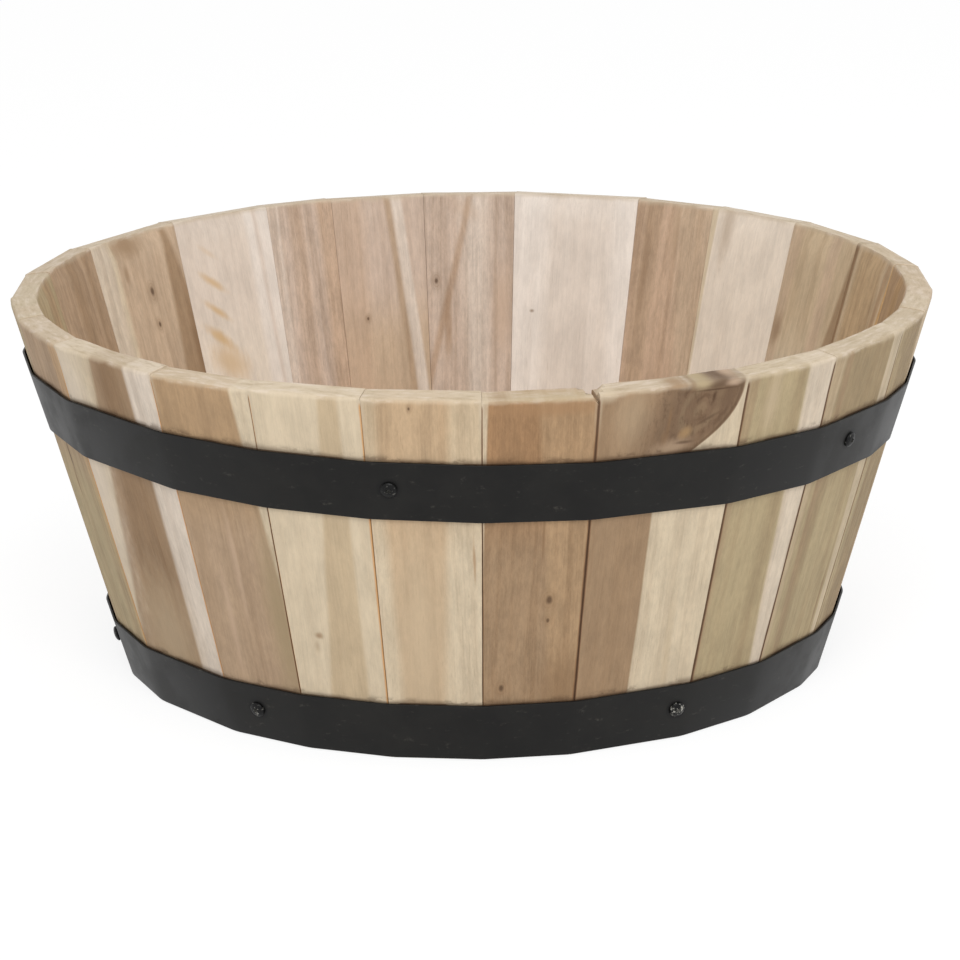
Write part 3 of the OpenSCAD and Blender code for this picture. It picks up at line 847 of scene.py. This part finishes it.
def buildStaves():
    tree = makeStaveTree()
    worn = {key: stave[key] for key in ("arris", "innerArris", "innerWear", "edgeWear", "cornerWear")}
    for index in range(staveCount):
        node = f"stave_{index + 1:02d}"
        origin = outwardOf(index) * faceDistance(index)
        turn = (0.0, leanAngle(index), middleAngle(index))
        half = halfAngle(index)
        width = 2 * faceDistance(index, tub["rimHeight"]) * math.tan(half)
        piece = growMesh(
            f"staveBoard{index + 1:02d}", tree, staveProfile(index),
            columns=round(width / stave["columnWidth"]), slope=math.tan(half),
            faceDistance=faceDistance(index), lean=leanAngle(index),
            jointSetBack=tub["jointGap"] / 2 / math.sin(half), thickness=tub["staveThickness"],
            boardLength=boardLength(index), topFall=topFall(index), grooveRadius=stave["grooveRadius"],
            chip=[part * mm for part in boards[index].get("chip", (0, 0, 0))], seed=1.9 * index,
            origin=origin, turn=turn, wood=staveWood(index, origin, turn), **worn,
        )
        fit(piece, [node])


buildStaves()
print("staves built:", staveCount)


def makeWornPaint():
    inputs = {"Place": "Vector", "Dust": 0.3}
    tree, given, out = shaderGroup("wornPaint", inputs, ["Mottle", "Dust", "Relief"])
    cloud = noise(given["Place"], (28.0, 28.0, 28.0), 2.0, 4.0, 0.6)
    feed(out["Mottle"], ramp(cloud, 0.35, 0.7))
    speck = noise(given["Place"], (420.0, 420.0, 420.0), 5.0, 2.0)
    rub = noise(given["Place"], (90.0, 90.0, 240.0), 8.0, 4.0, 0.65)
    feed(out["Dust"], ramp(rub, 0.56, 0.72) * ramp(speck, 0.4, 0.7) * given["Dust"])
    feed(out["Relief"], noise(given["Place"], (1600.0, 1600.0, 1600.0), 1.0, 2.0))
    return tree


wornPaint = makeWornPaint()
steelTones = {"black": "11100F", "grey": "1B1A18", "dust": "5A564F", "bare": "B4B2AA", "jet": "080808"}
steel = {name: colour(code) for name, code in steelTones.items()}
steelFinish = {
    "strapRoughness": (0.4, 0.5),
    "screwRoughness": (0.28, 0.42),
    "specular": 0.2,
    "strapDust": 0.35,
    "bumpDepth": 0.05 * mm,
    "roundShare": 0.75,
    "grimeAndShadeSpan": (8.5 * mm, 6 * mm),  # from a screw's middle
}


# A strip springs between its bends, so its shading runs on over them
def roundNormal(tree, place, share):
    x, y, z = split(place)
    level = math.cos(flare) / lengthOf(join(x, y, 0.0))
    smooth = join(x * level, y * level, -math.sin(flare))
    flat = addNode(tree, "ShaderNodeNewGeometry").outputs["Normal"]
    same = chain("ShaderNodeVectorMath", {0: flat, 1: smooth}, operation="DOT_PRODUCT").outputs["Value"]
    values = {0: ramp(same, 0.85, 0.95, 0.0, share), 4: flat, 5: smooth}
    return vectorCalc("NORMALIZE", chain("ShaderNodeMix", values, data_type="VECTOR").outputs[1])


def paintedSteel(name, dust, roundShare=0.0, screws=()):
    material = newMaterial(name)
    place = objectPlaceIn(material)
    worn = useGroup(wornPaint, place=place, dust=dust)
    shade = paint(worn["Mottle"], steel["black"], steel["grey"])
    shade = paint(worn["Dust"], shade, steel["dust"])
    for seat in screws:  # grime and a painted shadow sit round each head
        far = lengthOf(vectorCalc("SUBTRACT", place, tuple(seat)))
        shade = stain(ramp(far, *steelFinish["grimeAndShadeSpan"]), 0.7, shade, steel["jet"])
    roughness = ramp(worn["Mottle"], 0.0, 1.0, *steelFinish["strapRoughness"])
    relief = {"Height": worn["Relief"], "Strength": 0.25, "Distance": steelFinish["bumpDepth"]}
    if roundShare:
        relief["Normal"] = roundNormal(material.node_tree, place, roundShare)
    return finishSurface(material, shade, roughness, steelFinish["specular"], relief)


# The middle line of a strip's thickness, from its inner end round to the outer end on top of it
def strapPath(band):
    radius = bandRadius(band, band["height"])
    off = hoop["gap"] + hoop["thickness"] / 2
    lap = hoop["lapStave"] - 1
    onTop = hoop["thickness"] + hoop["lapGap"]
    end = hoop["lapLength"] / 2

    def reachOf(index):
        return radius * math.cos(halfAngle(index)) + off

    def onLap(across, out):
        return outwardOf(lap) * (reachOf(lap) + out) + acrossOf(lap) * across

    points = [onLap(1 * mm - end, 0)]
    for step in range(staveCount):
        here = (lap + step) % staveCount
        after = (here + 1) % staveCount
        turn = halfAngle(here) + halfAngle(after)
        slide = (reachOf(after) - reachOf(here) * math.cos(turn)) / math.sin(turn)
        points.append(outwardOf(here) * reachOf(here) + acrossOf(here) * slide)
    points += [onLap(-end - hoop["lapRise"], 0), onLap(-end, onTop), onLap(end, onTop)]
    points = [(p.x, p.y, band["height"]) for p in points]
    return startMesh("strap", points, [(k, k + 1) for k in range(len(points) - 1)])


# A strip swept along its path, tipped out of level on the cone of the tub, and a little off true
def makeHoopTree():
    inputs = {
        "Path": "Geometry", "Width": 0.04, "Thickness": 0.0015, "Edge Rounding": 0.0003,
        "Bend Radius": 0.04, "Lean": 0.26, "Flare": 0.26, "Tilt": 0.0, "Waviness": 0.0002, "Seed": 0.0,
        "Paint": "Material",
    }
    tree, given, out = geometryGroup("hoopStrap", inputs)
    path = geometry(tree, "MeshToCurve", {"Mesh": given["Path"]})
    bends = {"Curve": path, "Count": 5, "Radius": given["Bend Radius"], "Limit Radius": True}
    path = geometry(tree, "FilletCurve", bends, mode="POLY")
    path = geometry(tree, "SubdivideCurve", {"Curve": path, "Cuts": 2})
    path = geometry(tree, "SetCurveNormal", {"Curve": path}, mode="Z_UP")
    sizes = {"Width": given["Thickness"], "Height": given["Width"]}
    section = geometry(tree, "CurvePrimitiveQuadrilateral", sizes)
    corners = {"Curve": section, "Count": 3, "Radius": given["Edge Rounding"], "Limit Radius": True}
    section = geometry(tree, "FilletCurve", corners, mode="POLY")
    tipped = chain("FunctionNodeEulerToRotation", {0: join(0.0, 0.0, given["Lean"])}).outputs[0]
    section = geometry(tree, "Transform", {"Geometry": section, "Rotation": tipped})
    sweep = {"Curve": path, "Profile Curve": section, "Fill Caps": True}
    body = geometry(tree, "CurveToMesh", sweep)
    x, y, z = split(geometry(tree, "InputPosition"))
    fall = -(x * calc("TANGENT", given["Tilt"]))
    turn = calc("ARCTAN2", y, x)
    swell = noise(join(x, y, 0.0), (14.0, 14.0, 14.0), given["Seed"], 1.0)
    moved = swell * given["Waviness"] + fall * calc("TANGENT", given["Flare"])
    radius = lengthOf(join(x, y, 0.0)) + moved
    place = join(radius * calc("COSINE", turn), radius * calc("SINE", turn), z + fall)
    body = geometry(tree, "SetPosition", {"Geometry": body, "Position": place})
    finishTree(tree, out, body, given["Paint"])
    return tree


def buildHoops():
    tree = makeHoopTree()
    keys = ("width", "thickness", "edgeRounding", "bendRadius", "waviness", "seed")
    shared = {key: hoop[key] for key in keys}
    for side, band in (("upper", upperHoop), ("lower", lowerHoop)):
        name, node = side + "Strap", side + "_hoop"
        seats = [seat for seat, out in screwSeats(node + "_screws", band)]
        black = paintedSteel(name + "Paint", steelFinish["strapDust"], steelFinish["roundShare"], seats)
        piece = growMesh(
            name, tree, strapPath(band), lean=flare + math.atan(hoop["flareOut"] / hoop["width"]),
            flare=flare, tilt=band["tilt"], paint=black, **shared,
        )
        fit(piece, [node])


fastener = {
    "screwHead": 10 * mm,
    "screwRise": 2.8 * mm,
    "screwShank": 4 * mm,
    "screwLength": 15 * mm,
    "screwLift": 2.5 * mm,
    "crossLength": 5 * mm,
    "crossWidth": 1.1 * mm,
    "crossDepth": 1.5 * mm,
    "rivetHead": 8 * mm,
    "rivetRise": 2 * mm,
    "rivetPitch": 22 * mm,
    "seatGap": 0.1 * mm,
    "turnSeed": 20,
}
# stave, place across it from -1 at its left seam to 1 at its right one, and how bare the steel is
screwPlaces = {
    "upper_hoop_screws": [(25, -0.62, 0.2), (4, 0, 0.2), (9, -0.2, 0.3), (14, 0.1, 0.2), (19, 0, 0.2)],
    "lower_hoop_screws": [(23, -0.2, 0.5), (2, 0.81, 0.85), (7, 0, 0.6), (16, 0.3, 0.7), (20, 0, 0.1)],
}


# A place on the outer face of a band, and the direction square out of it
def seatOn(band, index, across, layers, lift=0.0):
    sideways = faceDistance(index, band["height"]) * outwardOf(index).x
    height = band["height"] + lift - math.tan(band["tilt"]) * sideways
    lean = leanAngle(index)
    off = (bandRadius(band, height) - cornerRadius(height)) * math.cos(halfAngle(index)) + hoop["gap"]
    off = off * math.cos(lean) + layers * hoop["thickness"] + fastener["seatGap"]
    out = outwardOf(index) * math.cos(lean) - Vector((0, 0, math.sin(lean)))
    onFace = outwardOf(index) * faceDistance(index, height) + Vector((0, 0, height))
    return onFace + acrossOf(index) * across + out * off, out


def screwSeats(node, band):
    seats = []
    for number, share, bare in screwPlaces[node]:
        wide = faceDistance(number - 1, band["height"]) * math.tan(halfAngle(number - 1))
        seats.append(seatOn(band, number - 1, share * wide, 1, fastener["screwLift"]))
    return seats


def seatMesh(name, seats, bareness):
    mesh = startMesh(name, [seat for seat, out in seats])
    mesh.attributes.new("aim", "FLOAT_VECTOR", "POINT")
    mesh.attributes.new("bare", "FLOAT", "POINT")
    for k, (seat, out) in enumerate(seats):
        mesh.attributes["aim"].data[k].vector = out
        mesh.attributes["bare"].data[k].value = bareness[k]
    return mesh


# A domed head on a shank, with a cross cut into it for screws, at every seat and each turned its own way
def makeFastenerTree():
    inputs = {
        "Seats": "Geometry", "Head": 0.01, "Rise": 0.0028, "Shank": 0.004, "Length": 0.015,
        "Cross": True, "Cross Length": 0.005, "Cross Width": 0.0011, "Cross Depth": 0.0015, "Seed": 0,
        "Finish": "Material",
    }
    tree, given, out = geometryGroup("panHead", inputs)

    def moved(body, z):
        return geometry(tree, "Transform", {"Geometry": body, "Translation": join(0.0, 0.0, z)})

    def marked(body, name, value, domain):
        values = {"Geometry": body, "Name": name, "Value": value}
        return geometry(tree, "StoreNamedAttribute", values, data_type="FLOAT", domain=domain)

    ball = geometry(tree, "MeshUVSphere", {"Segments": 40, "Rings": 20, "Radius": 1.0})
    x, y, z = split(geometry(tree, "InputPosition"))
    radius = given["Head"] * 0.5
    edge = given["Rise"] * 0.25
    height = calc("MAXIMUM", z, 0.0) * (given["Rise"] - edge) + ramp(z, -0.35, 0.0) * edge
    dome = {"Geometry": ball, "Position": join(x * radius, y * radius, height)}
    toMiddle = ramp(lengthOf(join(x, y, 0.0)), 0.8, 0.3)
    head = marked(geometry(tree, "SetPosition", dome), "middle", toMiddle, "POINT")
    values = {"Vertices": 20, "Radius": given["Shank"] * 0.5, "Depth": given["Length"]}
    shank = moved(geometry(tree, "MeshCylinder", values), given["Length"] * -0.5 + 0.0003)

    # the cross: two bars that narrow as they go down
    size = join(given["Cross Length"], given["Cross Width"], given["Cross Depth"] * 2.0)
    narrow = ramp(z, -given["Cross Depth"], 0.0, 0.45, 1.0)
    taper = {"Geometry": geometry(tree, "MeshCube", {"Size": size}), "Position": join(x * narrow, y, z)}
    bar = marked(geometry(tree, "SetPosition", taper), "recess", 1.0, "FACE")
    bar = moved(bar, given["Rise"])
    quarter = addNode(tree, "FunctionNodeEulerToRotation", {0: (0, 0, math.pi / 2)}).outputs[0]
    second = geometry(tree, "Transform", {"Geometry": bar, "Rotation": quarter})
    cut = chain("GeometryNodeMeshBoolean", {"Mesh 1": head}, operation="DIFFERENCE", solver="EXACT")
    feed(cut.inputs["Mesh 2"], bar)
    feed(cut.inputs["Mesh 2"], second)
    values = {"Switch": given["Cross"], "False": head, "True": cut.outputs[0]}
    head = geometry(tree, "Switch", values, input_type="GEOMETRY")
    both = addNode(tree, "GeometryNodeJoinGeometry")
    feed(both.inputs[0], head)
    feed(both.inputs[0], shank)

    aim = geometry(tree, "InputNamedAttribute", {"Name": "aim"}, data_type="FLOAT_VECTOR")
    facing = chain("FunctionNodeAlignRotationToVector", {"Vector": aim}, axis="Z").outputs[0]
    values = {2: 0.0, 3: math.pi, "Seed": given["Seed"]}
    angle = chain("FunctionNodeRandomValue", values, data_type="FLOAT").outputs[1]
    turn = chain("FunctionNodeAxisAngleToRotation", {"Axis": (0, 0, 1), "Angle": angle}).outputs[0]
    values = {"Rotation": facing, "Rotate By": turn}
    facing = chain("FunctionNodeRotateRotation", values, rotation_space="LOCAL").outputs[0]
    values = {"Points": given["Seats"], "Instance": both.outputs[0], "Rotation": facing}
    finishTree(tree, out, geometry(tree, "InstanceOnPoints", values), given["Finish"])
    return tree


# The paint is off the cross and here and there on the head
def screwSteel():
    material = newMaterial("screwSteel")
    place = objectPlaceIn(material)
    worn = useGroup(wornPaint, place=place, dust=0.5)
    recess, middle, bareness = [
        addNode(material.node_tree, "ShaderNodeAttribute", attribute_name=name).outputs["Fac"]
        for name in ("recess", "middle", "bare")
    ]
    flakes = noise(place, (500.0, 500.0, 500.0), 3.0, 3.0, 0.6)
    flaked = ramp(bareness * 0.08 + flakes, 0.6, 0.66)
    bare = calc("MAXIMUM", recess * 0.6, middle * flaked) * bareness
    shade = paint(bare, steel["jet"], steel["bare"])
    roughness = ramp(worn["Mottle"], 0.0, 1.0, *steelFinish["screwRoughness"])
    relief = {"Height": worn["Relief"], "Strength": 0.3, "Distance": steelFinish["bumpDepth"]}
    return finishSurface(material, shade, roughness, steelFinish["specular"], relief)


def buildFasteners():
    tree = makeFastenerTree()
    finish = screwSteel()
    cross = {key: fastener[key] for key in ("crossLength", "crossWidth", "crossDepth")}
    for node, band in (("upper_hoop_screws", upperHoop), ("lower_hoop_screws", lowerHoop)):
        bareness = [bare for number, share, bare in screwPlaces[node]]
        piece = growMesh(
            node.split("_")[0] + "Screws", tree, seatMesh(node, screwSeats(node, band), bareness),
            head=fastener["screwHead"], rise=fastener["screwRise"], shank=fastener["screwShank"],
            length=fastener["screwLength"], cross=True, seed=fastener["turnSeed"], finish=finish, **cross,
        )
        fit(piece, [node])
    seats = []
    for band in (upperHoop, lowerHoop):
        for way in (-1, 1):
            seats.append(seatOn(band, hoop["lapStave"] - 1, way * fastener["rivetPitch"] / 2, 2))
    piece = growMesh(
        "lapRivets", tree, seatMesh("rivets", seats, [0] * 4), head=fastener["rivetHead"],
        rise=fastener["rivetRise"], shank=fastener["screwShank"], length=2 * hoop["thickness"],
        cross=False, seed=1, finish=paintedSteel("rivetPaint", 0.5),
    )
    fit(piece, ["hoop_rivets"])


buildHoops()
print("hoops built")
buildFasteners()
print("screws and rivets built")

bottom = {
    "tones": [("sand", "tan"), ("peach", "brown"), ("cream", "sand"), ("tan", "brown"), ("sand", "rose")],
    "dowelTones": ("cream", "sand"),
    "streak": 0.4,
    "wander": 8.0,
    "nearWallSpan": (170 * mm, 225 * mm),  # from the middle
    "nearWallShare": 0.5,
}


# The bottom boards lie flat and run from front to back, and are darker in patches towards the staves
def floorWood(name, index, light, dark):
    turn = Matrix(((0, 1, 0), (0, 0, 1), (1, 0, 0))).to_euler()
    seed = 50 + 5.3 * index
    material, objectPlace, onBoard, grain = startWood(name, (0, 0, 0), turn, seed, bottom["wander"])
    shade = paint(grain["Figure"], tone[light], tone[dark])
    shade = grainOver(grain, shade, bottom["streak"])
    x, y, z = split(objectPlace)
    # darker towards the staves, in patches
    nearWall = ramp(lengthOf(join(x, y, 0.0)), *bottom["nearWallSpan"])
    nearWall = nearWall * noise(objectPlace, (30.0, 30.0, 30.0), 3.0)
    shade = stain(nearWall, bottom["nearWallShare"], shade, tone["bark"])
    return finishWood(material, grain, shade)


def finishBottom():
    for index, (light, dark) in enumerate(bottom["tones"]):
        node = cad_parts[f"bottom_board_{index + 1}"]
        node.data.materials.clear()
        node.data.materials.append(floorWood(f"floorWood{index + 1}", index, light, dark))
    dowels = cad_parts["bottom_dowels"]
    dowels.data.materials.clear()
    dowels.data.materials.append(floorWood("dowelWood", 9, *bottom["dowelTones"]))


finishBottom()
print("bottom finished")

studio = {
    "worldStrength": 0.67,
    "floorReach": 20,
    "floorTone": 0.8,
    "floorRoughness": 0.9,
    "brightness": 1.05,  # of the paper, with its share of shadow
    "shadowShare": 0.22,
    "darkSpan": (200 * mm, 220 * mm),  # under the tub
    "front": {"power": 42, "size": 1.6, "place": (0.0, -2.15, 2.2)},
    "right": {"power": 7, "size": 1.2, "place": (2.4, 0.3, 1.0)},
    "aim": (0, 0, 0.15),
}
camera = {
    "distance": 2299 * mm,
    "height": 777.6 * mm,
    "pitch": 16.156,  # degrees down
    "yaw": 0.0019,  # radians to the right
    "roll": -0.0096,
    "focal": 3553.7,  # in pixels of a frame this wide
    "frameWidth": 960,
    "sensorWidth": 36,
}


def seenDirectly(tree):
    path = addNode(tree, "ShaderNodeLightPath").outputs
    seen = calc("MAXIMUM", path["Is Camera Ray"], path["Is Glossy Ray"])
    return calc("MAXIMUM", seen, path["Is Transmission Ray"])


# White paper that glows to the camera, with a faint shadow; under the tub it stays dark
def makeFloor():
    reach = studio["floorReach"]
    corners = [(-reach, -reach, 0), (reach, -reach, 0), (reach, reach, 0), (-reach, reach, 0)]
    mesh = bpy.data.meshes.new("studioFloor")
    mesh.from_pydata(corners, [], [(0, 1, 2, 3)])
    floor = linkToScene("studioFloor", mesh)
    material = newMaterial("whitePaper")
    tree = material.node_tree
    plain = tree.nodes["Principled BSDF"]
    plain.inputs["Base Color"].default_value = (*[studio["floorTone"]] * 3, 1)
    plain.inputs["Roughness"].default_value = studio["floorRoughness"]
    share = studio["shadowShare"]
    soft = addNode(tree, "ShaderNodeBsdfDiffuse", {"Color": (share, share, share, 1)}).outputs[0]
    light = {"Color": (1, 1, 1, 1), "Strength": studio["brightness"] - share}
    glow = addNode(tree, "ShaderNodeEmission", light).outputs[0]
    white = chain("ShaderNodeAddShader", {0: soft, 1: glow}).outputs[0]
    x, y, z = split(objectPlaceIn(material))
    shown = seenDirectly(tree) * ramp(lengthOf(join(x, y, 0.0)), *studio["darkSpan"])
    mixed = chain("ShaderNodeMixShader", {0: shown, 1: plain.outputs[0], 2: white}).outputs[0]
    feed(tree.nodes["Material Output"].inputs["Surface"], mixed)
    mesh.materials.append(material)


def makeWorld():
    world = bpy.data.worlds.new("studioWorld")
    bpy.context.scene.world = world
    world.use_nodes = True
    tree = world.node_tree
    sky = tree.nodes["Background"]
    sky.inputs["Color"].default_value = (1, 1, 1, 1)
    feed(sky.inputs["Strength"], blend(seenDirectly(tree), studio["worldStrength"], 1.0))


def makeLamp(name):
    look = studio[name]
    lamp = bpy.data.lights.new(name + "Lamp", "AREA")
    lamp.energy = look["power"]
    lamp.shape = "DISK"
    lamp.size = look["size"]
    made = linkToScene(name + "Lamp", lamp)
    made.location = look["place"]
    towards = Vector(studio["aim"]) - Vector(look["place"])
    made.rotation_euler = towards.to_track_quat("-Z", "Y").to_euler()


def makeCamera():
    pitch, yaw, roll = math.radians(camera["pitch"]), camera["yaw"], camera["roll"]
    ahead = Vector((math.sin(yaw) * math.cos(pitch), math.cos(yaw) * math.cos(pitch), -math.sin(pitch)))
    right = Vector((math.cos(yaw), -math.sin(yaw), 0))
    up = right.cross(ahead)
    turned = right * math.cos(roll) + up * math.sin(roll)
    raised = up * math.cos(roll) - right * math.sin(roll)
    lens = bpy.data.cameras.new("photoCamera")
    lens.sensor_width = camera["sensorWidth"]
    lens.lens = camera["focal"] * camera["sensorWidth"] / camera["frameWidth"]
    lens.clip_start, lens.clip_end = 0.05, 100
    made = linkToScene("photoCamera", lens)
    basis = Matrix((turned, raised, -ahead)).transposed().to_4x4()
    basis.translation = (0, -camera["distance"], camera["height"])
    made.matrix_world = basis
    bpy.context.scene.camera = made


makeFloor()
makeWorld()
makeLamp("front")
makeLamp("right")
makeCamera()
bpy.context.scene.view_settings.view_transform = "Standard"
print("studio ready")
